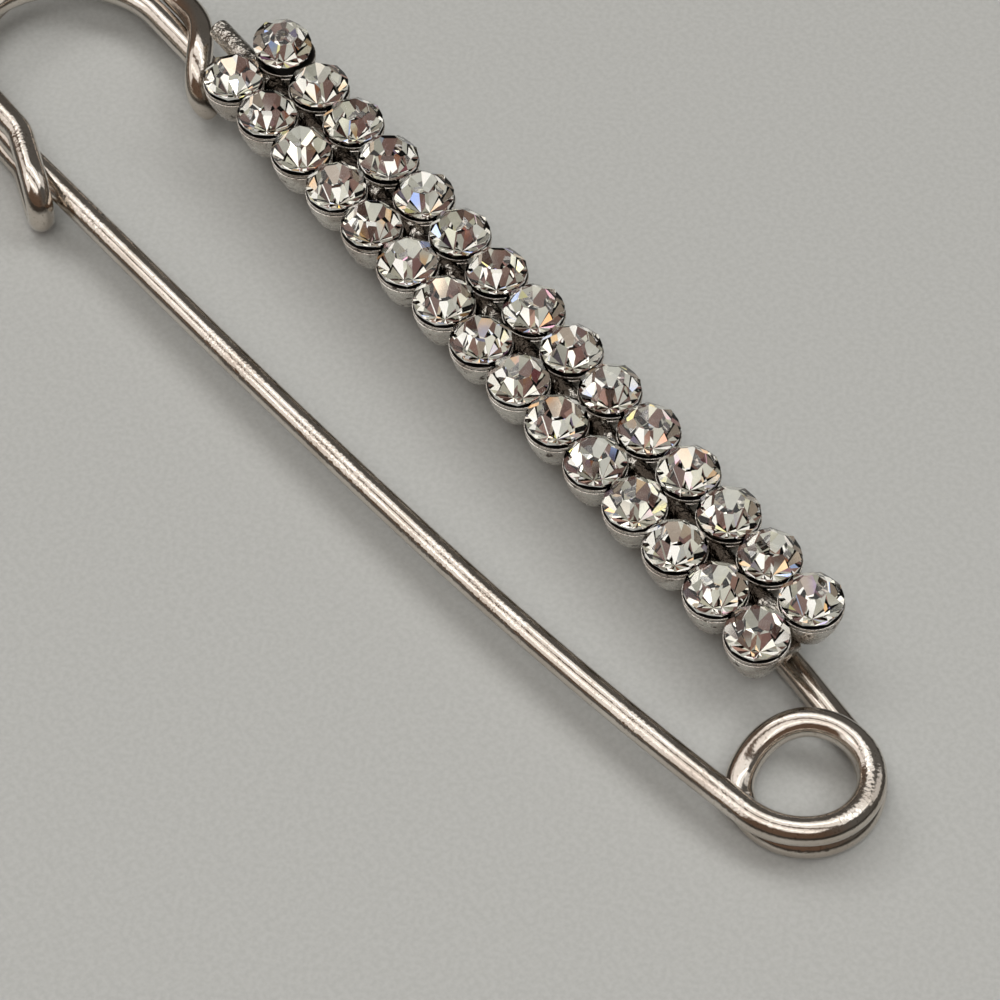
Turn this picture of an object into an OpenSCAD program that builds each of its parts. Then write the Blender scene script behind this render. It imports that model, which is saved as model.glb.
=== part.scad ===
/* [Wire] */
// Diameter of the one steel wire that forms the pin, coil and catch
wire_d = 1.8; // [1.7:0.05:1.8]
// Clearance between two strands that lie one on the other
strand_gap = 0.05; // [0.03:0.01:0.08]
// Number of flats round the swept wire
wire_sides = 16; // [12:2:20]

/* [Coil] */
// Place of the coil's axis along the brooch
coil_x = 36.4; // [36:0.1:37]
// Place of the coil's axis across the brooch
coil_y = -4.9; // [-5:0.05:-4.8]
// Radius of the coil at the wire's centre
coil_r = 3.9; // [3.8:0.05:4]
// Radius on which the coil opens into the back wire
back_ease_r = 5; // [4.9:0.1:5.2]
// Radius on which the coil opens into the pin
pin_ease_r = 5; // [4.9:0.1:5.1]

/* [Head] */
// Place across the brooch of the back wire where it enters the head
leg_y = -0.75; // [-0.9:0.05:-0.6]
// Place across the brooch of the catch's two strands
catch_y = -14.95; // [-15.1:0.05:-14.8]
// Place along the brooch where the inner arch begins
arch_x = -39.75; // [-40:0.05:-39.5]
// Place along the brooch where the outer arch begins
outer_arch_x = -40.6; // [-41:0.1:-40.5]
// Angle by which the catch turns away from the back wire
catch_turn = 20; // [15:1:25]
// Length of the catch's straight stretch before its return bend
catch_len = 3.2; // [3:0.1:3.5]

/* [Pin] */
// Heading of the pin against the brooch at its point
pin_heading = 2.8; // [2.7:0.1:2.9]
// Heading of the pin against the brooch at the middle of its bow
pin_mid_heading = 4.5; // [4.4:0.1:4.6]
// Heading of the pin against the brooch at the coil
pin_root_heading = 9.5; // [9.4:0.1:9.6]
// Length of the sharpened point
point_len = 6; // [4:0.5:8]
// Diameter at the very end of the point
point_d = 0.25; // [0.2:0.05:0.4]

/* [Crystal bar] */
// Number of crystals in each of the two rows
row_count = 15; // [15:1:15]
// Distance between neighbours in a row
stone_pitch = 4; // [3.98:0.01:4.05]
// Distance between the two rows
row_gap = 4.14; // [4.12:0.01:4.2]
// Diameter of a crystal at its girdle
stone_d = 3.96; // [3.9:0.01:3.96]
// Outer diameter of a cup at its rim
cup_d = 4.1; // [4.08:0.01:4.12]
// Depth of a cup from its rim to its base
cup_depth = 3.15; // [3.1:0.05:3.3]
// Height of the crystals' girdles above the back wire's centre
girdle_rise = 4.6; // [4.5:0.05:4.7]
// Diameter of the spine rod that runs between the rows
spine_d = 1.5; // [1.4:0.05:1.5]

/* [Hidden] */
wire_r = wire_d / 2;
lift = wire_d + strand_gap;
low_z = wire_r;
mid_z = low_z + lift;
top_z = mid_z + lift;

// Coil: the pin's own turn ends and the back wire's turn starts under the pin
split_angle = 243;
split_gap = 5;
ease_angle = 30;
back_heading = 4.3;
lower_shift = [-0.27, 0.25];

// Back wire: it climbs from the coil's lower turn to the head's middle level
bend_x = 28.5;
climb_start_x = 34;
climb_end_x = -30;
bar_tilt = atan(lift / (climb_start_x - climb_end_x));
bar_mid_z = low_z + climb_start_x * tan(bar_tilt);

// Head
arch_r = (leg_y - catch_y) / 2;
arch_y = (leg_y + catch_y) / 2;
catch_x = -35.3;
catch_bend_r = 4;
wrap_r = lift + 0.01;
wrap_start = 20;
wrap_end = 220;
wrap_start_x = -39.8;
wrap_end_x = -31.4;
wrap_turn_ease = 1.35;
wrap_slide_ease = 1.8;
wrap_y = leg_y + wrap_r * cos(wrap_start);
wrap_z = mid_z + wrap_r * sin(wrap_start);
outer_arch_r = (wrap_y - catch_y) / 2;
outer_arch_y = (wrap_y + catch_y) / 2;

// Pin
pin_tip_x = -39.5;
bow_near_len = 26.5;
bow_far_len = 24.2;
drop_start = 490;

// Crystal bar, measured down from the girdle plane
rim_z = -0.32;
cup_base_z = rim_z - cup_depth;
bore_d = stone_d - 0.16;
seat_z = -0.45;
cavity_z = -1.9;
cavity_tip_d = 1;
cup_wall_z = -0.6;
cup_shoulder = [1.8, -1.75];
cup_flank = [1.3, cup_base_z + 0.55];
cup_foot = [1.05, cup_base_z + 0.2];
cup_foot_r = 0.7;
spine_y = 0.2;
spine_z = -1.25;
spine_head_x = -33.3;
spine_coil_x = 29.7;
web_w = 2.4;
web_end = 0.6;
web_top = cup_base_z + 0.2;
web_base = wire_r - girdle_rise - 0.25;
row_half = (row_count - 1) / 2;

// Crystal: eight-sided machine cut, as parts of its radius
table_part = 0.5;
crown_part = 0.56;
pavilion_part = 0.86;
girdle_t = 0.1;
seat_lean = 1.5;
askew_tilt = 10;
askew_lift = 0.3;
askew_shift = -0.3;

metal = [0.78, 0.77, 0.74];
glass = [0.93, 0.94, 0.96];

// Names of the crystals: left row, then right row, each from the head to the coil
LEFT = ["crystal_l01", "crystal_l02", "crystal_l03", "crystal_l04", "crystal_l05",
        "crystal_l06", "crystal_l07", "crystal_l08", "crystal_l09", "crystal_l10",
        "crystal_l11", "crystal_l12", "crystal_l13", "crystal_l14", "crystal_l15"];
RIGHT = ["crystal_r01", "crystal_r02", "crystal_r03", "crystal_r04", "crystal_r05",
         "crystal_r06", "crystal_r07", "crystal_r08", "crystal_r09", "crystal_r10",
         "crystal_r11", "crystal_r12", "crystal_r13", "crystal_r14", "crystal_r15"];

// Vector helpers
function unit(v) = v / norm(v);
function flat_to(v, t) = unit(v - (v * t) * t);
function tail(list) = [for (i = [1 : len(list) - 1]) list[i]];
function turned(list) = [for (i = [len(list) - 1 : -1 : 0]) list[i]];

// Points of a level arc, from angle a to angle b in n steps, at height z
function arc(cx, cy, r, a, b, n, z) =
    [for (i = [0 : n]) let (t = a + (b - a) * i / n) [cx + r * cos(t), cy + r * sin(t), z]];

// Height of the back wire, which climbs evenly to the head
function bar_z(x) =
    let (t = (climb_start_x - x) / (climb_start_x - climb_end_x))
    low_z + lift * min(1, max(0, t));

// Centre of the wider arc that leaves the coil at angle a
function ease_centre(c, r, a) = [c.x - (r - coil_r) * cos(a), c.y - (r - coil_r) * sin(a)];

// Directions of a path, and a normal carried along it without twist
function path_dirs(p) =
    [for (i = [0 : len(p) - 1]) unit(p[min(i + 1, len(p) - 1)] - p[max(i - 1, 0)])];
function path_normals(dirs) =
    [for (i = 0, n = flat_to([0, 0.3, 1], dirs[0]);
          i < len(dirs);
          i = i + 1, n = i < len(dirs) ? flat_to(n, dirs[i]) : n) n];

// Round wire swept along a path, with one radius for each point
module wire(path, radii) {
    dirs = path_dirs(path);
    normals = path_normals(dirs);
    last = len(path) - 1;
    m = wire_sides;
    points = [for (i = [0 : last]) let (n = normals[i], b = cross(dirs[i], n))
              for (k = [0 : m - 1]) let (a = 360 * k / m)
              path[i] + radii[i] * (cos(a) * n + sin(a) * b)];
    sides = [for (i = [0 : last - 1]) for (k = [0 : m - 1]) let (j = (k + 1) % m)
             for (f = [[i * m + k, (i + 1) * m + k, (i + 1) * m + j],
                       [i * m + k, (i + 1) * m + j, i * m + j]]) f];
    start_cap = [[for (k = [0 : m - 1]) k]];
    end_cap = [[for (k = [m - 1 : -1 : 0]) last * m + k]];
    polyhedron(points = points, faces = concat(sides, start_cap, end_cap));
}

// Lower turn of the coil, opening into the back wire
lower_centre = [coil_x, coil_y] + lower_shift;
coil_low = arc(lower_centre.x, lower_centre.y, coil_r, split_angle + split_gap, 360 + ease_angle,
               20, low_z);
back_centre = ease_centre(lower_centre, back_ease_r, ease_angle);
back_ease = arc(back_centre.x, back_centre.y, back_ease_r, ease_angle, 90 - back_heading, 7, low_z);

// Back wire under the crystals, then the straight leg into the head
back_end = back_ease[len(back_ease) - 1];
bend_y = back_end.y + (back_end.x - bend_x) * tan(back_heading);
back_bar = [[climb_start_x, back_end.y + (back_end.x - climb_start_x) * tan(back_heading), low_z],
            [bend_x + 1, bend_y - tan(back_heading), bar_z(bend_x + 1)],
            [bend_x - 1, bend_y, bar_z(bend_x - 1)],
            [climb_end_x, leg_y + 0.05, mid_z],
            [climb_end_x - 1.5, leg_y, mid_z]];

// Inner arch: it climbs over the pin
inner_arch = [for (i = [0 : 24]) let (a = 90 + 180 * i / 24)
              [arch_x + arch_r * cos(a), arch_y + arch_r * sin(a),
               mid_z + lift * (1 - sin(a)) / 2]];

// One strand of the catch at height z, from its straight leg out to the return bend
function catch_strand(z) =
    let (bend = [for (i = [0 : 4]) let (a = catch_turn * i / 4)
                 [catch_x + catch_bend_r * sin(a), catch_y - catch_bend_r * (1 - cos(a)), z]],
         end = bend[4])
    concat(bend, [end + catch_len * [cos(catch_turn), -sin(catch_turn), 0]]);

// Return bend: it goes down on the outer side of the pin
catch_end = catch_strand(mid_z)[5];
return_bend = [for (i = [1 : 13]) let (a = 90 - 180 * i / 14)
               catch_end + lift * [cos(a) * cos(catch_turn), -cos(a) * sin(catch_turn), sin(a)]];

// Outer arch: it comes from under the pin and climbs beside the inner arch
outer_arch = [for (i = [0 : 24]) let (a = 270 - 180 * i / 24)
              [outer_arch_x + outer_arch_r * cos(a), outer_arch_y + outer_arch_r * sin(a),
               low_z + (wrap_z - low_z) * (1 + sin(a)) / 2]];

// Wrap: the wire's end goes over the leg and back under it
wrap = [for (i = [0 : 26]) let (t = i / 26,
                                a = wrap_start + (wrap_end - wrap_start) * pow(t, wrap_turn_ease))
        [wrap_end_x - (wrap_end_x - wrap_start_x) * pow(1 - t, wrap_slide_ease),
         leg_y + wrap_r * cos(a), mid_z + wrap_r * sin(a)]];

frame_path = concat(coil_low, tail(back_ease), back_bar, inner_arch, catch_strand(top_z),
                    return_bend, turned(catch_strand(low_z)), outer_arch, wrap);

// Pin: point, long gentle bow in two stretches, then the coil's upper turn
pin_centre = ease_centre([coil_x, coil_y], pin_ease_r, -ease_angle);
pin_open = arc(pin_centre.x, pin_centre.y, pin_ease_r, 270 + pin_root_heading, 360 - ease_angle,
               7, mid_z);

// Points of one stretch of the bow, from heading a to heading b, ending at point e
function bow(e, a, b, len, n) =
    let (r = len / ((b - a) * PI / 180), c = e + r * [-sin(b), cos(b), 0])
    [for (i = [0 : n - 1]) let (h = a + (b - a) * i / n) c + r * [sin(h), -cos(h), 0]];
bow_near = bow(pin_open[0], pin_mid_heading, pin_root_heading, bow_near_len, 8);
bow_far = bow(bow_near[0], pin_heading, pin_mid_heading, bow_far_len, 5);
pin_dir = [cos(pin_heading), sin(pin_heading), 0];
pin_tip = bow_far[0] - pin_dir * ((bow_far[0].x - pin_tip_x) / pin_dir.x);
pin_point = [for (i = [0 : 4]) pin_tip + pin_dir * (point_len * i / 4)];
drop_end = 360 + split_angle - split_gap;
pin_turn = [for (i = [0 : 32]) let (a = 330 + (drop_end - 330) * i / 32,
                                    t = max(0, (a - drop_start) / (drop_end - drop_start)))
            [coil_x + coil_r * cos(a), coil_y + coil_r * sin(a),
             mid_z - lift * (1 - cos(180 * t)) / 2]];
pin_path = concat(pin_point, bow_far, bow_near, pin_open, tail(pin_turn));
pin_radii = [for (i = [0 : len(pin_path) - 1])
             i < 5 ? point_d / 2 + (wire_r - point_d / 2) * sin(22.5 * i) : wire_r];

// Middle of the brooch's outline, which is the model's origin on the ground plane
head_side = outer_arch_x - outer_arch_r - wire_r;
coil_side = coil_x + coil_r + wire_r;
catch_side = catch_end.y - lift * sin(catch_turn) - wire_r;
row_side = (row_gap + cup_d) / 2;
middle = [(head_side + coil_side) / 2, (catch_side + row_side) / 2, 0];

// The girdle plane, parallel to the climbing back wire
module at_girdles() {
    translate([0, 0, bar_mid_z]) rotate([0, bar_tilt, 0]) translate([0, 0, girdle_rise]) children();
}

module at_each_cup() {
    for (i = [-row_half : row_half], side = [-1, 1])
        translate([i * stone_pitch, side * row_gap / 2, 0]) children();
}

// Outside of one cup: a short rim, tapering to a rounded base
module cup_outside() {
    rotate_extrude($fn = 48)
        polygon([[0, cup_base_z], [cup_foot_r, cup_base_z], cup_foot, cup_flank, cup_shoulder,
                 [cup_d / 2, cup_wall_z], [cup_d / 2, rim_z], [0, rim_z]]);
}

// Inside of one cup: the seat and the cone below it
module cup_inside() {
    rotate_extrude($fn = 48)
        polygon([[0, cavity_z], [cavity_tip_d / 2, cavity_z], [bore_d / 2, seat_z],
                 [bore_d / 2, 1], [0, 1]]);
}

// Cast crystal bar: thirty cups, the spine rod between the rows and the web below
module crystal_bar() {
    difference() {
        union() {
            at_each_cup() cup_outside();
            translate([spine_head_x, spine_y, spine_z]) rotate([0, 90, 0])
                cylinder(h = spine_coil_x - spine_head_x, d = spine_d, $fn = 32);
            translate([-row_half * stone_pitch - web_end, -web_w / 2, web_base])
                cube([2 * (row_half * stone_pitch + web_end), web_w, web_top - web_base]);
        }
        at_each_cup() cup_inside();
    }
}

module frame() {
    color(metal) translate(-middle) union() {
        wire(frame_path, [for (p = frame_path) wire_r]);
        at_girdles() crystal_bar();
    }
}

module pin_arm() {
    color(metal) translate(-middle) wire(pin_path, pin_radii);
}

// One crystal: table, eight crown facets, girdle and eight pavilion facets; the crown and
// pavilion planes cut the round girdle lower or higher in the middle of a facet than at its corners
module crystal_shape() {
    r = stone_d / 2;
    half = 22.5;
    crown_h = crown_part * r;
    pavilion_h = pavilion_part * r;
    crown_slope = crown_h / (r - table_part * r * cos(half));
    pavilion_slope = pavilion_h / r;
    corner_in = r * (1 - cos(half));
    point_at = function(radius, a, z) [radius * cos(a), radius * sin(a), z];
    points = concat(
        [for (k = [0 : 7]) point_at(table_part * r, 45 * k, girdle_t / 2 + crown_h)],
        [for (k = [0 : 15]) point_at(r, half * k,
                                     girdle_t / 2 + (k % 2 == 0 ? crown_slope * corner_in : 0))],
        [for (k = [0 : 15]) point_at(r, half * k,
                                     -girdle_t / 2 - (k % 2 == 0 ? pavilion_slope * corner_in : 0))],
        [[0, 0, -girdle_t / 2 - pavilion_h]]);
    table = [[for (k = [7 : -1 : 0]) k]];
    crown = [for (k = [0 : 7]) let (n = (k + 1) % 8)
             [k, n, 8 + 2 * n, 9 + 2 * k, 8 + 2 * k]];
    girdle = [for (k = [0 : 15]) let (n = (k + 1) % 16) [8 + k, 8 + n, 24 + n, 24 + k]];
    pavilion = [for (k = [0 : 7]) let (n = (k + 1) % 8)
                [24 + 2 * k, 25 + 2 * k, 24 + 2 * n, 40]];
    polyhedron(points = points, faces = concat(table, crown, girdle, pavilion));
}

// Crystals are set by hand, so each one is turned, and leans a little, in its own way
function set_turn(k, side) = (29 * k + 17 * (side + 1)) % 45;
function set_lean(k, side) = let (a = 137 * k + 80 * (side + 1)) seat_lean * [cos(a), sin(a), 0];

// The crystal in place k of the row on the given side
module crystal(k, side) {
    color(glass) translate(-middle) at_girdles()
        translate([(k - row_half) * stone_pitch, side * row_gap / 2, 0])
            rotate(set_lean(k, side)) rotate([0, 0, set_turn(k, side)]) crystal_shape();
}

// The first crystal of the right row rides up on its rim, as in the photo
module askew_crystal() {
    color(glass) translate(-middle) at_girdles()
        translate([-row_half * stone_pitch + askew_shift, row_gap / 2, askew_lift])
            rotate([0, askew_tilt, 0]) crystal_shape();
}

frame();
pin_arm();
for (k = [0 : row_count - 1]) crystal(k, -1);
askew_crystal();
for (k = [1 : row_count - 1]) crystal(k, 1);
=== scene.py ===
import math

import bpy
from mathutils import Matrix, Vector


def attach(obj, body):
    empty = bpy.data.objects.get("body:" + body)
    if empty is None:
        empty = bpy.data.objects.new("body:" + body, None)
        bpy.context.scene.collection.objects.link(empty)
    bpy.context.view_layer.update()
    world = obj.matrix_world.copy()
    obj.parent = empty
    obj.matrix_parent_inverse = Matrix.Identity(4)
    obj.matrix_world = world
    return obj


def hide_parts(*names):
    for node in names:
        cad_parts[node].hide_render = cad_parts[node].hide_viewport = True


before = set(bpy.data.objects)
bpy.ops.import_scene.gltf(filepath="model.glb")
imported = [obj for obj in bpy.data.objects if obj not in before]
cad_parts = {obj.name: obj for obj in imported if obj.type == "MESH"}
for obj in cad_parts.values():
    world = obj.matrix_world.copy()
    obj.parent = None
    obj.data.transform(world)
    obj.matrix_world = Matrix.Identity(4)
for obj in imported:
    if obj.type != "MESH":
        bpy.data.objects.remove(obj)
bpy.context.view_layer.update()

# The surface that the brooch lies on: a smooth pale grey board with a very fine grain.
# In polished metal only, its colour has painted shade: near black at a low angle, so it shows
# bright close by and dark further off.


class Sock:
    """A shader socket that takes part in sums."""

    def __init__(self, mat, socket):
        self.mat = mat
        self.socket = socket

    def maths(self, operation, *values):
        return self.mat.node("ShaderNodeMath", {"operation": operation}, dict(enumerate(values)))

    def __add__(self, other):
        return self.maths("ADD", self, other)

    def __radd__(self, other):
        return self.maths("ADD", other, self)

    def __sub__(self, other):
        return self.maths("SUBTRACT", self, other)

    def __rsub__(self, other):
        return self.maths("SUBTRACT", other, self)

    def __mul__(self, other):
        return self.maths("MULTIPLY", self, other)

    def __rmul__(self, other):
        return self.maths("MULTIPLY", other, self)

    def between(self, low, high):
        """Runs smoothly from 0 at low to 1 at high."""
        return self.mat.node("ShaderNodeMapRange", {"interpolation_type": "SMOOTHSTEP"},
                             {"Value": self, "From Min": low, "From Max": high})


class Finish:
    """A node material for one finish."""

    def __init__(self, name):
        self.data = bpy.data.materials.new(name)
        self.data.use_nodes = True
        self.tree = self.data.node_tree
        self.shader = self.tree.nodes["Principled BSDF"]

    def node(self, kind, settings, values, output=0):
        """One node, with its settings and then the values or links of its sockets."""
        made = self.tree.nodes.new(kind)
        for key, value in settings.items():
            if key == "stops":
                steps = made.color_ramp
                steps.interpolation = "CONSTANT"
                steps.elements.remove(steps.elements[-1])
                for place, colour in value:
                    stop = steps.elements.new(place) if place > 0 else steps.elements[0]
                    stop.color = (*colour, 1)
            else:
                setattr(made, key, value)
        for key, value in values.items():
            self.feed(made.inputs[key], value)
        return Sock(self, made.outputs[output])

    def feed(self, socket, value):
        if isinstance(value, Sock):
            self.tree.links.new(value.socket, socket)
        elif isinstance(value, tuple) and socket.type == "RGBA":
            socket.default_value = (*value, 1)
        else:
            socket.default_value = value

    def set(self, **values):
        for key, value in values.items():
            self.feed(self.shader.inputs[key.replace("_", " ")], value)

    def place(self):
        return self.node("ShaderNodeTexCoord", {}, {}, "Object")

    def noise(self, vector, scale, detail=3.0, roughness=0.5):
        return self.node("ShaderNodeTexNoise", {}, {"Vector": vector, "Scale": scale,
                                                    "Detail": detail, "Roughness": roughness}, "Fac")

    def blend(self, amount, first, second):
        return self.node("ShaderNodeMix", {"data_type": "RGBA"}, {0: amount, 6: first, 7: second}, 2)

    def bump(self, height, strength, distance):
        return self.node("ShaderNodeBump", {},
                         {"Height": height, "Strength": strength, "Distance": distance})


bpy.ops.object.select_all(action="DESELECT")
bpy.ops.mesh.primitive_plane_add(size=4.0, location=(0, 0, 0))
board = bpy.context.object
board.name = "board"
board_finish = Finish("board_pale_grey")
grain = board_finish.noise(board_finish.place(), 2800.0, 3.0).between(0.25, 0.75)
board_colour = board_finish.blend(grain, (0.450, 0.460, 0.445), (0.504, 0.514, 0.499))
# Painted shade: in glossy rays only, the board's colour is painted near black at a low angle.
in_metal = board_finish.node("ShaderNodeLightPath", {}, {}, "Is Glossy Ray")
grazing_painted_dark = board_finish.node("ShaderNodeLayerWeight", {}, {"Blend": 0.5}, "Facing").between(0.55, 0.78)
board_finish.set(Base_Color=board_finish.blend(grazing_painted_dark * in_metal, board_colour, (0.02, 0.018, 0.015)),
                 Roughness=0.55, Specular_IOR_Level=0.25)
board.data.materials.append(board_finish.data)

# The view: a close camera above the coil's end of the brooch, as in the photograph. Its place and
# the brooch's own are in millimetres from the bar's middle, and shift takes them to the frame.
MM = 0.001
shift = Vector((4.13696, 6.84922, 0.0))
eye = (Vector((134.449, -93.758, 194.803)) + shift) * MM
right = Vector((0.58927, 0.80767, -0.02067)).normalized()
back = right.cross(Vector((-0.62502, 0.47191, 0.62181))).normalized()
up = back.cross(right).normalized()
sensor_width, picture_width, focal_length = 36.0, 1000.0, 3948.2
camera = bpy.data.objects.new("camera", bpy.data.cameras.new("camera"))
bpy.context.scene.collection.objects.link(camera)
camera.matrix_world = Matrix(((right.x, up.x, back.x, eye.x), (right.y, up.y, back.y, eye.y),
                              (right.z, up.z, back.z, eye.z), (0, 0, 0, 1)))
camera.data.sensor_width = sensor_width
camera.data.lens = focal_length * sensor_width / picture_width
camera.data.clip_start = 0.01
camera.data.clip_end = 10.0
bpy.context.scene.camera = camera
bpy.context.scene.view_settings.view_transform = "Standard"

# The room: dim, brown on the pin's side and grey on the crystals' side. Light that comes out of a
# crystal sees more of it: a patchwork of pale and dark things all round, with small coloured
# sparks, which gives the stones their light and dark facets and their fire.


class Room(Finish):
    """The room's nodes, made in the same way as a finish's."""

    def __init__(self, world):
        world.use_nodes = True
        self.tree = world.node_tree


world = bpy.data.worlds.new("room")
bpy.context.scene.world = world
room = Room(world)
way = room.node("ShaderNodeTexCoord", {}, {}, "Generated")
across = room.node("ShaderNodeSeparateXYZ", {}, {0: way}, "Y")
north = room.node("ShaderNodeMapRange", {}, {"Value": across, "From Min": -0.35, "From Max": 0.35})
in_polish = room.node("ShaderNodeLightPath", {}, {}, "Is Glossy Ray")
background = room.tree.nodes["Background"]
room.feed(background.inputs["Color"], room.blend(north, (0.36, 0.235, 0.165), (0.285, 0.27, 0.25)))
room.feed(background.inputs["Strength"],
          room.node("ShaderNodeMapRange", {}, {"Value": in_polish, "To Min": 0.30, "To Max": 0.40}))


def patchwork(scale, stops):
    """Cells of plain colour, in the shares that the stops give."""
    cells = room.node("ShaderNodeTexVoronoi", {}, {"Vector": way, "Scale": scale}, "Color")
    pick = room.node("ShaderNodeSeparateColor", {}, {0: cells})
    return room.node("ShaderNodeValToRGB", {"stops": stops}, {0: pick})


plain = (1.0, 1.0, 1.0)
things = patchwork(3.4, [(0.0, (0.06, 0.032, 0.026)), (0.09, (0.165, 0.10, 0.085)),
                         (0.23, (0.26, 0.215, 0.175)), (0.42, (0.365, 0.36, 0.305)),
                         (0.66, (0.57, 0.565, 0.51)), (0.83, (1.15, 1.12, 1.06)),
                         (0.955, (0.18, 0.10, 0.09)), (0.99, (0.50, 0.42, 0.35))])
sparks = patchwork(26.0, [(0.0, plain), (0.10, (0.72, 0.70, 0.67)), (0.18, (1.4, 1.38, 1.32)),
                          (0.27, plain), (0.955, (1.3, 0.9, 0.6)), (0.965, (2.6, 2.6, 2.5))])
fire = patchwork(115.0, [(0.0, plain), (0.25, (0.80, 0.79, 0.77)), (0.42, (1.18, 1.16, 1.10)),
                         (0.60, plain), (0.905, (1.4, 0.85, 0.42)), (0.922, (0.6, 0.85, 1.7)),
                         (0.939, (1.5, 1.4, 0.55)), (0.953, (1.35, 0.70, 1.0)),
                         (0.963, (0.8, 0.65, 1.5)), (0.972, (2.2, 2.2, 2.1))])
for more in (sparks, fire):
    things = room.node("ShaderNodeMix", {"data_type": "RGBA", "blend_type": "MULTIPLY"},
                       {0: 1.0, 6: things, 7: more}, 2)
glow = room.node("ShaderNodeBackground", {}, {"Color": things})
from_crystal = room.node("ShaderNodeLightPath", {}, {}, "Is Transmission Ray")
either = room.node("ShaderNodeMixShader", {},
                   {0: from_crystal, 1: Sock(room, background.outputs[0]), 2: glow})
room.feed(room.tree.nodes["World Output"].inputs["Surface"], either)

# The studio lights. Six soft panels show only in the polish: two long ones overhead, each with a
# brighter tube, one in front and a window. Eight weak lamps light the board and show in nothing.


def soft_light(name, place, width, height, brightness, turn=None):
    """A soft panel that faces the brooch, or lies level and turned by an angle."""
    lamp = bpy.data.lights.new(name, "AREA")
    lamp.shape = "RECTANGLE"
    lamp.size = width
    lamp.size_y = height
    lamp.energy = math.pi * width * height * brightness
    lamp.color = (1.0, 0.985, 0.965)
    holder = bpy.data.objects.new(name, lamp)
    bpy.context.scene.collection.objects.link(holder)
    holder.location = place
    holder.visible_transmission = False
    if turn is None:
        holder.rotation_euler = Vector(place).to_track_quat("Z", "Y").to_euler()
    else:
        holder.rotation_euler = (0, 0, math.radians(turn))
    return holder


ceiling_turn = 21.6
for name, place, width, height, brightness, turn in (
        ("ceiling_north", (-0.20, 0.22, 1.0), 2.2, 0.77, 1.08, ceiling_turn),
        ("ceiling_south", (0.05, -0.67, 1.0), 2.0, 0.75, 1.08, ceiling_turn),
        ("tube_north", (-0.20, 0.22, 0.99), 2.2, 0.13, 1.6, ceiling_turn),
        ("tube_south", (0.05, -0.67, 0.99), 2.0, 0.11, 1.2, ceiling_turn),
        ("front", (-0.75, -0.98, 0.62), 1.5, 0.70, 0.90, None),
        ("window", (0.35, 0.95, 0.62), 0.7, 0.7, 0.65, None)):
    soft_light(name, place, width, height, brightness, turn).visible_diffuse = False

# Each lamp: its lean from overhead and its bearing in degrees, its size, its share of the light.
for name, lean, bearing, width, height, share in (
        ("lamp_a", 32, 317, 0.40, 0.40, 0.59), ("lamp_b", 48, 342, 0.35, 0.35, 0.375),
        ("lamp_c", 30, 175, 0.35, 0.75, 0.536), ("lamp_d", 38, 208, 0.35, 0.40, 0.20),
        ("lamp_e", 32, 50, 0.35, 0.45, 0.469), ("lamp_f", 25, 95, 0.35, 0.35, 0.214),
        ("lamp_g", 16, 272, 0.30, 0.30, 0.16), ("lamp_h", 8, 90, 0.50, 0.30, 0.134)):
    lean, bearing = math.radians(lean), math.radians(bearing)
    place = (math.sin(lean) * math.cos(bearing), math.sin(lean) * math.sin(bearing), math.cos(lean))
    brightness = share / (width * height * math.cos(lean))
    soft_light(name, place, width, height, brightness).visible_glossy = False

# The wire: hard steel wire, drawn round, bent cold into the coil, the back wire and the hooked
# head in one length, then bright plated. The plating shows fine draw lines and small pits.
# Where strands cross, they lie one on the other at three heights, a hair apart.
wire_r = 0.9
lift = 1.85
low, mid, top = wire_r, wire_r + lift, wire_r + 2 * lift
coil = Vector((36.4, -4.9))
coil_r, open_r, open_angle = 3.9, 5.0, 30


def arc(centre, radius, first, last, steps, height):
    """Points of a level arc, from one angle to another."""
    return [Vector((centre[0] + radius * math.cos(math.radians(first + (last - first) * i / steps)),
                    centre[1] + radius * math.sin(math.radians(first + (last - first) * i / steps)),
                    height)) for i in range(steps + 1)]


def eased(centre, radius, angle):
    """Centre of the wider arc that leaves a turn of the coil at an angle."""
    a = math.radians(angle)
    return (centre[0] - (radius - coil_r) * math.cos(a), centre[1] - (radius - coil_r) * math.sin(a))


# The coil's lower turn starts under the pin and opens into the back wire.
split_angle, split_gap = 243, 5
back_heading = 4.3
lower_coil = (coil.x - 0.27, coil.y + 0.25)
lower_turn = arc(lower_coil, coil_r, split_angle + split_gap, 360 + open_angle, 48, low)
opening = arc(eased(lower_coil, open_r, open_angle), open_r, open_angle, 90 - back_heading, 20, low)

# The back wire climbs evenly under the crystals, from the coil's lower turn to the head.
climb_start, climb_end = 34.0, -30.0
bend_x, leg_y = 28.5, -0.75


def bar_height(x):
    return low + lift * min(1, max(0, (climb_start - x) / (climb_start - climb_end)))


start_bar = opening[-1]
slope = math.tan(math.radians(back_heading))
bend_y = start_bar.y + (start_bar.x - bend_x) * slope
run_start = bend_x - 1
back_wire = [Vector((climb_start, start_bar.y + (start_bar.x - climb_start) * slope, low)),
             Vector((bend_x + 1, bend_y - slope, bar_height(bend_x + 1))),
             Vector((run_start, bend_y, bar_height(run_start)))]
for i in range(1, 21):
    x = run_start - (run_start - climb_end) * i / 20
    back_wire.append(Vector((x, bend_y + (leg_y + 0.05 - bend_y) * i / 20, bar_height(x))))
back_wire += [Vector((climb_end - 1.5, leg_y, mid)), Vector((climb_end - 5.5, leg_y, mid))]

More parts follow.
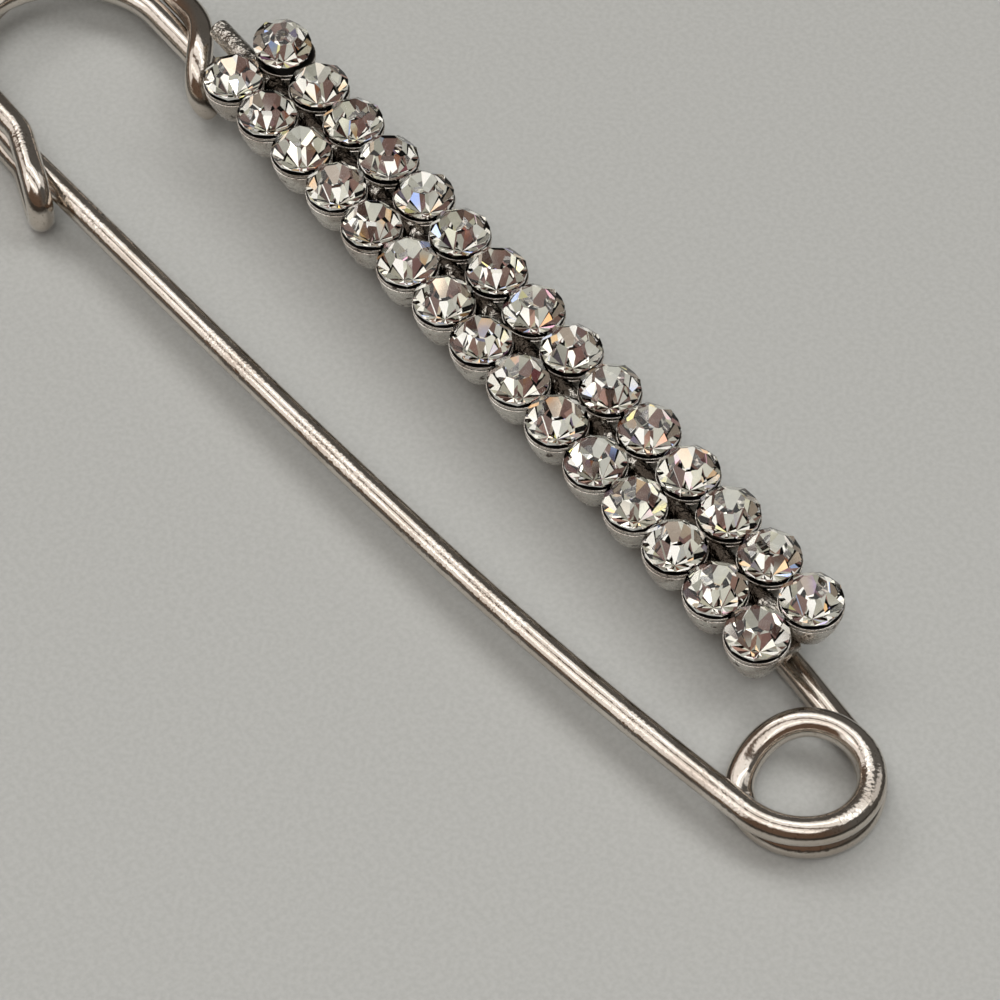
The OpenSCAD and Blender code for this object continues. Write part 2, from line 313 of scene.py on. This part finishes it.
# The head: the inner arch climbs over the pin to the catch's upper strand. A return bend leads to
# the lower strand, and the outer arch comes back under the pin and wraps round the leg.
catch_x, catch_y, catch_bend_r, catch_len = -35.3, -14.95, 4.0, 3.2
arch_x, outer_arch_x = -39.75, -40.6
arch_r, arch_y = (leg_y - catch_y) / 2, (leg_y + catch_y) / 2
inner_arch = [Vector((arch_x + arch_r * math.cos(a), arch_y + arch_r * math.sin(a),
                      mid + lift * (1 - math.sin(a)) / 2))
              for a in [math.radians(90 + 180 * i / 72) for i in range(73)]]
catch_turn = 20
catch_out = Vector((math.cos(math.radians(catch_turn)), -math.sin(math.radians(catch_turn)), 0))


def catch_strand(height):
    """One strand of the catch, from its straight leg out to the return bend."""
    bend = [Vector((catch_x + catch_bend_r * math.sin(a), catch_y - catch_bend_r * (1 - math.cos(a)),
                    height)) for a in [math.radians(catch_turn * i / 12) for i in range(13)]]
    return bend + [bend[-1] + catch_out * (catch_len / 2), bend[-1] + catch_out * catch_len]


catch_end = catch_strand(mid)[-1]
return_bend = [catch_end + catch_out * (lift * math.cos(a)) + Vector((0, 0, lift * math.sin(a)))
               for a in [math.radians(90 - 180 * i / 30) for i in range(1, 30)]]
wrap_r, wrap_start, wrap_sweep = lift + 0.01, 20, 200
wrap_end_x, wrap_slide = -31.4, 8.4
turn_ease, slide_ease = 1.35, 1.8
wrap_y = leg_y + wrap_r * math.cos(math.radians(wrap_start))
wrap_z = mid + wrap_r * math.sin(math.radians(wrap_start))
outer_r = (wrap_y - catch_y) / 2
outer_arch = [Vector((outer_arch_x + outer_r * math.cos(a), wrap_y - outer_r + outer_r * math.sin(a),
                      low + (wrap_z - low) * (1 + math.sin(a)) / 2))
              for a in [math.radians(270 - 180 * i / 72) for i in range(73)]]
wrap = []
for i in range(61):
    t = i / 60
    turn = math.radians(wrap_start + wrap_sweep * t ** turn_ease)
    wrap.append(Vector((wrap_end_x - wrap_slide * (1 - t) ** slide_ease,
                        leg_y + wrap_r * math.cos(turn), mid + wrap_r * math.sin(turn))))
frame_route = (lower_turn + opening[1:] + back_wire + inner_arch + catch_strand(top) + return_bend
               + catch_strand(low)[::-1] + outer_arch + wrap)


def bend_wire(name, route, radii):
    """A round wire swept along a route, with closed ends.

    Its UV runs along the wire in millimetres, and round it in turns from the top, outer side first.
    """
    least_step = 0.05
    clean = [(route[0], radii[0])]
    for point, radius in zip(route[1:], radii[1:]):
        if (point - clean[-1][0]).length > least_step:
            clean.append((point, radius))
    curve = bpy.data.curves.new(name, "CURVE")
    curve.dimensions = "3D"
    spline = curve.splines.new("POLY")
    spline.points.add(len(clean) - 1)
    for i, (point, radius) in enumerate(clean):
        spline.points[i].co = (*((point + shift) * MM), 1)
        spline.points[i].radius = radius / wire_r
    curve.bevel_depth = wire_r * MM
    curve.bevel_resolution = 8
    curve.use_fill_caps = True
    made = bpy.data.objects.new(name, curve)
    bpy.context.scene.collection.objects.link(made)
    bpy.ops.object.select_all(action="DESELECT")
    made.select_set(True)
    bpy.context.view_layer.objects.active = made
    bpy.ops.object.convert(target="MESH")
    made = bpy.context.object
    lengths = [0.0]
    for (a, _), (b, _) in zip(clean, clean[1:]):
        lengths.append(lengths[-1] + (b - a).length)
    last = len(clean) - 1
    uv = made.data.uv_layers[0].data
    for face in made.data.polygons:
        turns = []
        for loop in face.loop_indices:
            step = min(max(uv[loop].uv.x * last, 0), last)
            first = min(int(step), last - 1)
            here, ahead = clean[first][0], clean[first + 1][0]
            centre = (here.lerp(ahead, step - first) + shift) * MM
            out = made.data.vertices[made.data.loops[loop].vertex_index].co - centre
            outer = (ahead - here).cross(Vector((0, 0, 1))).normalized()
            turns.append(math.atan2(out.dot(outer), out.z) / math.tau)
            uv[loop].uv.x = lengths[first] + (lengths[first + 1] - lengths[first]) * (step - first)
        for loop, turn in zip(face.loop_indices, turns):
            uv[loop].uv.y = turn + 1 if max(turns) - turn > 0.5 else turn
    bpy.ops.object.mode_set(mode="EDIT")
    bpy.ops.mesh.select_all(action="SELECT")
    bpy.ops.mesh.remove_doubles(threshold=0.000001)
    bpy.ops.mesh.normals_make_consistent(inside=False)
    bpy.ops.object.mode_set(mode="OBJECT")
    bpy.ops.object.shade_smooth_by_angle(angle=math.radians(50))
    return made


plating = Finish("plated_wire")
along = plating.node("ShaderNodeTexCoord", {}, {}, "UV")
lines = plating.node("ShaderNodeMapping", {}, {"Vector": along, "Scale": (0.35, 30.0, 1.0)})
draw_lines = plating.noise(lines, 1.0, 4.0, 0.6)
speckle = plating.noise(plating.place(), 6500.0, 2.0, 0.6)
grains = plating.node("ShaderNodeTexVoronoi", {}, {"Vector": plating.place(), "Scale": 4300.0},
                      "Distance")
grit = plating.noise(plating.place(), 2600.0, 2.0).between(0.5, 0.7)
blotch = plating.noise(plating.place(), 260.0, 3.0).between(0.35, 0.75)
patches = plating.noise(plating.place(), 210.0, 2.0).between(0.46, 0.62)
pits = speckle.between(0.60, 0.74)
plated = plating.blend(blotch, (0.70, 0.648, 0.588), (0.55, 0.488, 0.425))
rough = draw_lines * 0.28 + (grains + speckle * 0.5) * (patches * 0.42 + 0.12)
plating.set(Base_Color=plating.blend(pits, plated, (0.38, 0.33, 0.28)), Metallic=1.0,
            Roughness=0.07 + 0.08 * draw_lines + 0.06 * grit, Normal=plating.bump(rough, 0.8, 0.000028))

frame_wire = bend_wire("frame_wire", frame_route, [wire_r] * len(frame_route))
frame_wire.data.materials.append(plating.data)
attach(frame_wire, "frame")

# The pin: the same wire, ground to a point at the catch, in one long shallow bow to the coil.
# Its coil turn runs over the back wire's turn and comes down beside it under the pin.
tip_heading, middle_heading, root_heading = 2.8, 4.5, 9.5
pin_open = arc(eased(coil, open_r, -open_angle), open_r, 270 + root_heading, 360 - open_angle, 20, mid)


def bow(end, first, last, length, steps):
    """Points of one stretch of the bow, between two headings, up to its end."""
    radius = length / math.radians(last - first)
    centre = end + radius * Vector((-math.sin(math.radians(last)), math.cos(math.radians(last)), 0))
    return [centre + radius * Vector((math.sin(math.radians(h)), -math.cos(math.radians(h)), 0))
            for h in [first + (last - first) * i / steps for i in range(steps)]]


near_length, far_length = 26.5, 24.2
bow_near = bow(pin_open[0], middle_heading, root_heading, near_length, 24)
bow_far = bow(bow_near[0], tip_heading, middle_heading, far_length, 16)
pin_way = Vector((math.cos(math.radians(tip_heading)), math.sin(math.radians(tip_heading)), 0))
tip_x, tip_r, point_length, point_steps = -39.5, 0.125, 6.0, 12
pin_tip = bow_far[0] - pin_way * ((bow_far[0].x - tip_x) / pin_way.x)
pin_point = [pin_tip + pin_way * (point_length * i / point_steps) for i in range(point_steps + 1)]
pin_shaft = [pin_point[-1].lerp(bow_far[0], i / 8) for i in range(1, 8)]

# The real pin and back wire are one wire. So the pin's turn narrows onto the back wire's turn and
# runs on a little inside it, a trace thinner, and the coil stays whole as the pin swings.
drop_start, drop_end = 490, 360 + split_angle - split_gap
join_start, join_end = 560, 602.8
aside = Vector(lower_coil) - coil
pin_turn = []
for a in [330 + 2 * i for i in range(1, 116)] + [join_start + 1.9 * i for i in range(1, 29)]:
    dropped = min(1, max(0, (a - drop_start) / (drop_end - drop_start)))
    joined = min(1, max(0, (a - join_start) / (join_end - join_start)))
    out = Vector((math.cos(math.radians(a)), math.sin(math.radians(a))))
    lower_r = out.dot(aside) + math.sqrt(coil_r ** 2 - aside.length_squared + out.dot(aside) ** 2)
    reach = coil_r + (lower_r - coil_r) * joined * joined * (3 - 2 * joined)
    pin_turn.append(Vector((coil.x + reach * out.x, coil.y + reach * out.y,
                            mid - lift * (1 - math.cos(math.pi * dropped)) / 2)))
inner_end = [0.84] * 6
pin_route = pin_point + pin_shaft + bow_far + bow_near + pin_open + pin_turn
pin_radii = [tip_r + (wire_r - tip_r) * math.sin(math.radians(90 * i / point_steps))
             for i in range(point_steps + 1)]
pin_radii += [wire_r] * (len(pin_route) - len(pin_radii) - len(inner_end)) + inner_end
pin = bend_wire("pin", pin_route, pin_radii)
pin.data.materials.append(plating.data)
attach(pin, "pin")
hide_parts("pin_arm")

# The cups: thirty small settings, cast in two rows with the rod and the web and soldered along the
# back wire. The cast skin is satin, with grains and small dark pits; the rims are burnished. The
# cups' insides and the groove under each rim are painted near black: painted shade.
row_count, pitch, row_gap, girdle_rise = 15, 4.0, 4.14, 4.6
bar_tilt = math.atan(lift / (climb_start - climb_end))
bar_middle = shift + Vector((0, 0, low + climb_start * math.tan(bar_tilt)))
girdles = (Matrix.Translation(bar_middle * MM) @ Matrix.Rotation(bar_tilt, 4, "Y")
           @ Matrix.Translation((0, 0, girdle_rise * MM)))

casting = Finish("cast_cups")
skin = casting.noise(casting.place(), 2600.0, 4.0, 0.6)
dimples = casting.noise(casting.place(), 900.0, 2.0)
dirt = casting.noise(casting.place(), 1700.0, 3.0).between(0.62, 0.70)
tarnish = casting.noise(casting.place(), 420.0, 3.0).between(0.40, 0.65)
metal = casting.blend(tarnish, (0.73, 0.70, 0.645), (0.50, 0.45, 0.40))
casting.set(Base_Color=casting.blend(dirt, metal, (0.10, 0.08, 0.065)), Metallic=1.0,
            Roughness=0.16 + 0.22 * skin + 0.2 * dirt,
            Normal=casting.bump(skin + dimples, 0.5, 0.00014))
# Painted shade: a near black finish for the inside of each cup and the groove under its rim.
inside = Finish("cup_inside_dark")
inside.set(Base_Color=(0.022, 0.018, 0.015), Metallic=0.0, Roughness=0.6)

# One cup as radius and height from the girdle, drawn up from its base disc ring by ring: rounded
# base, tapering wall, a groove under the rim, the rim's flat and the seat inside.
profile = [(0.70, -3.47), (0.92, -3.41), (1.05, -3.27), (1.30, -2.92), (1.80, -1.75), (1.97, -1.05),
           (2.03, -0.75), (1.99, -0.71), (1.93, -0.69), (1.93, -0.61), (2.03, -0.58), (2.05, -0.55),
           (2.05, -0.45), (2.03, -0.41), (2.00, -0.40), (1.92, -0.43), (1.90, -0.50), (0.50, -1.90)]
groove_low, groove_high, inside_low = -0.72, -0.59, -2.0
cup_turn = 1.3
bpy.ops.object.select_all(action="DESELECT")
bpy.ops.mesh.primitive_circle_add(vertices=48, radius=profile[0][0], fill_type="NGON",
                                  location=(0, 0, 0))
first_cup = bpy.context.object
first_cup.data.transform(Matrix.Translation((0, 0, profile[0][1])))
bpy.ops.object.mode_set(mode="EDIT")
bpy.ops.mesh.select_all(action="SELECT")
for (r, z), (next_r, next_z) in zip(profile, profile[1:]):
    bpy.ops.mesh.extrude_region_move(TRANSFORM_OT_translate={"value": (0, 0, next_z - z)})
    bpy.ops.transform.resize(value=(next_r / r, next_r / r, 1.0), center_override=(0, 0, next_z))
bpy.ops.mesh.select_all(action="SELECT")
bpy.ops.mesh.normals_make_consistent(inside=False)
bpy.ops.object.mode_set(mode="OBJECT")
first_cup.data.transform(Matrix.Scale(MM, 4))
bpy.ops.object.shade_smooth_by_angle(angle=math.radians(35))
first_cup.data.materials.append(casting.data)
first_cup.data.materials.append(inside.data)
# The faces that look inward above the seat's foot, and the groove's faces, take the painted shade.
for face in first_cup.data.polygons:
    z = face.center.z / MM
    faces_in = face.normal.xy.dot(face.center.xy) < 0
    if (faces_in and z > inside_low) or groove_low < z < groove_high:
        face.material_index = 1
for number in range(2 * row_count):
    side, k = divmod(number, row_count)
    cup = first_cup.copy()
    cup.data = first_cup.data.copy()
    cup.name = "cup_%02d" % number
    bpy.context.scene.collection.objects.link(cup)
    spot = Vector(((k - row_count // 2) * pitch, (side - 0.5) * row_gap, 0)) * MM
    cup.data.transform(girdles @ Matrix.Translation(spot) @ Matrix.Rotation(number * cup_turn, 4, "Z"))
    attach(cup, "frame")
bpy.data.objects.remove(first_cup)

# The spine rod: a rough round rod, cast between the two rows of cups, which it joins. Along the
# middle, where it lies between the cups, it is mostly painted near black: painted shade, broken by
# grime. At its two ends it is brighter metal.
rod_finish = Finish("cast_rod")
grime_and_shade_noise = rod_finish.noise(rod_finish.place(), 900.0, 4.0, 0.6)
cast = rod_finish.noise(rod_finish.place(), 1500.0, 3.0)
rod_x = rod_finish.node("ShaderNodeSeparateXYZ", {}, {0: rod_finish.place()})
to_end = rod_x.between(-0.0235, -0.0265) + rod_x.between(0.0300, 0.0318)
# Painted shade with some grime: near black over most of the rod, lifted near its two ends.
grime_and_painted_shade = grime_and_shade_noise.between(0.35, 0.44) * (1.0 - to_end * 0.85)
rod_finish.set(Base_Color=rod_finish.blend(grime_and_painted_shade, (0.66, 0.63, 0.575), (0.055, 0.045, 0.036)),
               Metallic=1.0, Roughness=0.08 + 0.14 * cast,
               Normal=rod_finish.bump(grime_and_shade_noise + cast, 1.0, 0.00035))

rod_r, rod_length, rod_middle, rod_edge = 0.75, 61.5, Vector((-2.55, 0.2, -1.25)), 0.08
bpy.ops.object.select_all(action="DESELECT")
bpy.ops.mesh.primitive_cylinder_add(vertices=48, radius=rod_r * MM, depth=rod_length * MM,
                                    rotation=(0, math.pi / 2, 0))
spine = bpy.context.object
spine.name = "spine_rod"
bpy.ops.object.transform_apply(location=True, rotation=True, scale=True)
spine.data.transform(girdles @ Matrix.Translation(rod_middle * MM))
spine.modifiers.new("worn_edge", "BEVEL").width = rod_edge * MM
spine.modifiers["worn_edge"].segments = 3
bpy.ops.object.modifier_apply(modifier="worn_edge")
bpy.ops.object.shade_smooth_by_angle(angle=math.radians(40))
spine.data.materials.append(rod_finish.data)
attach(spine, "frame")

# The web: a plain strip of solder and casting under the cups, which holds them on the back wire.
# The frame's solid is the back wire, the cups, the rod and this web in one.
web_size, web_drop, web_edge = Vector((57.2, 2.4, 0.65)), -3.625, 0.25
bpy.ops.object.select_all(action="DESELECT")
bpy.ops.mesh.primitive_cube_add(size=1.0)
web = bpy.context.object
web.name = "solder_web"
web.data.transform(girdles @ Matrix.Translation((0, 0, web_drop * MM))
                   @ Matrix.Diagonal((*(web_size * MM), 1)))
web.modifiers.new("solder_edge", "BEVEL").width = web_edge * MM
web.modifiers["solder_edge"].segments = 3
bpy.ops.object.modifier_apply(modifier="solder_edge")
bpy.ops.object.shade_smooth_by_angle(angle=math.radians(40))
web.data.materials.append(casting.data)
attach(web, "frame")
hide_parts("frame")

# The crystals: cut glass, mirror-foiled on the back, set loose in the cups and held by the rim.
# Light goes in through the crown, turns on the foil of the pavilion and comes out again.


def crystal_finish(name, seat):
    """Clear glass above the seat's girdle plane and mirror foil below it, in one cut stone."""
    made = Finish(name)
    normal = seat.to_3x3() @ Vector((0, 0, 1))
    height = (seat @ Vector((0, 0, 0))).dot(normal)
    x, z = [made.node("ShaderNodeSeparateXYZ", {}, {0: made.place()}, axis) for axis in "XZ"]
    above = z + x * (normal.x / normal.z) - height / normal.z
    made.set(Base_Color=(1.0, 1.0, 1.0), Roughness=0.0, IOR=1.56, Transmission_Weight=1.0)
    foil = made.node("ShaderNodeBsdfPrincipled", {},
                     {"Base Color": (0.92, 0.915, 0.895), "Metallic": 1.0, "Roughness": 0.02})
    cut = made.node("ShaderNodeMixShader", {}, {0: above.maths("LESS_THAN", above, 0.0),
                                                1: Sock(made, made.shader.outputs[0]), 2: foil})
    made.feed(made.tree.nodes["Material Output"].inputs["Surface"], cut)
    return made


# The right row's first crystal sits askew: it has slipped toward the head, risen and tipped.
slip, rise, tip = -0.3, 0.30, math.radians(10)
askew_place = Vector((-(row_count // 2) * pitch + slip, row_gap / 2, rise)) * MM
askew_seat = girdles @ Matrix.Translation(askew_place) @ Matrix.Rotation(tip, 4, "Y")
crystal = crystal_finish("foiled_crystal", girdles)
askew_crystal = crystal_finish("foiled_crystal_askew", askew_seat)
for row in "lr":
    for number in range(1, row_count + 1):
        stone_name = "crystal_%s%02d" % (row, number)
        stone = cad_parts[stone_name]
        stone.data.materials.clear()
        stone.data.materials.append((askew_crystal if stone_name == "crystal_r01" else crystal).data)
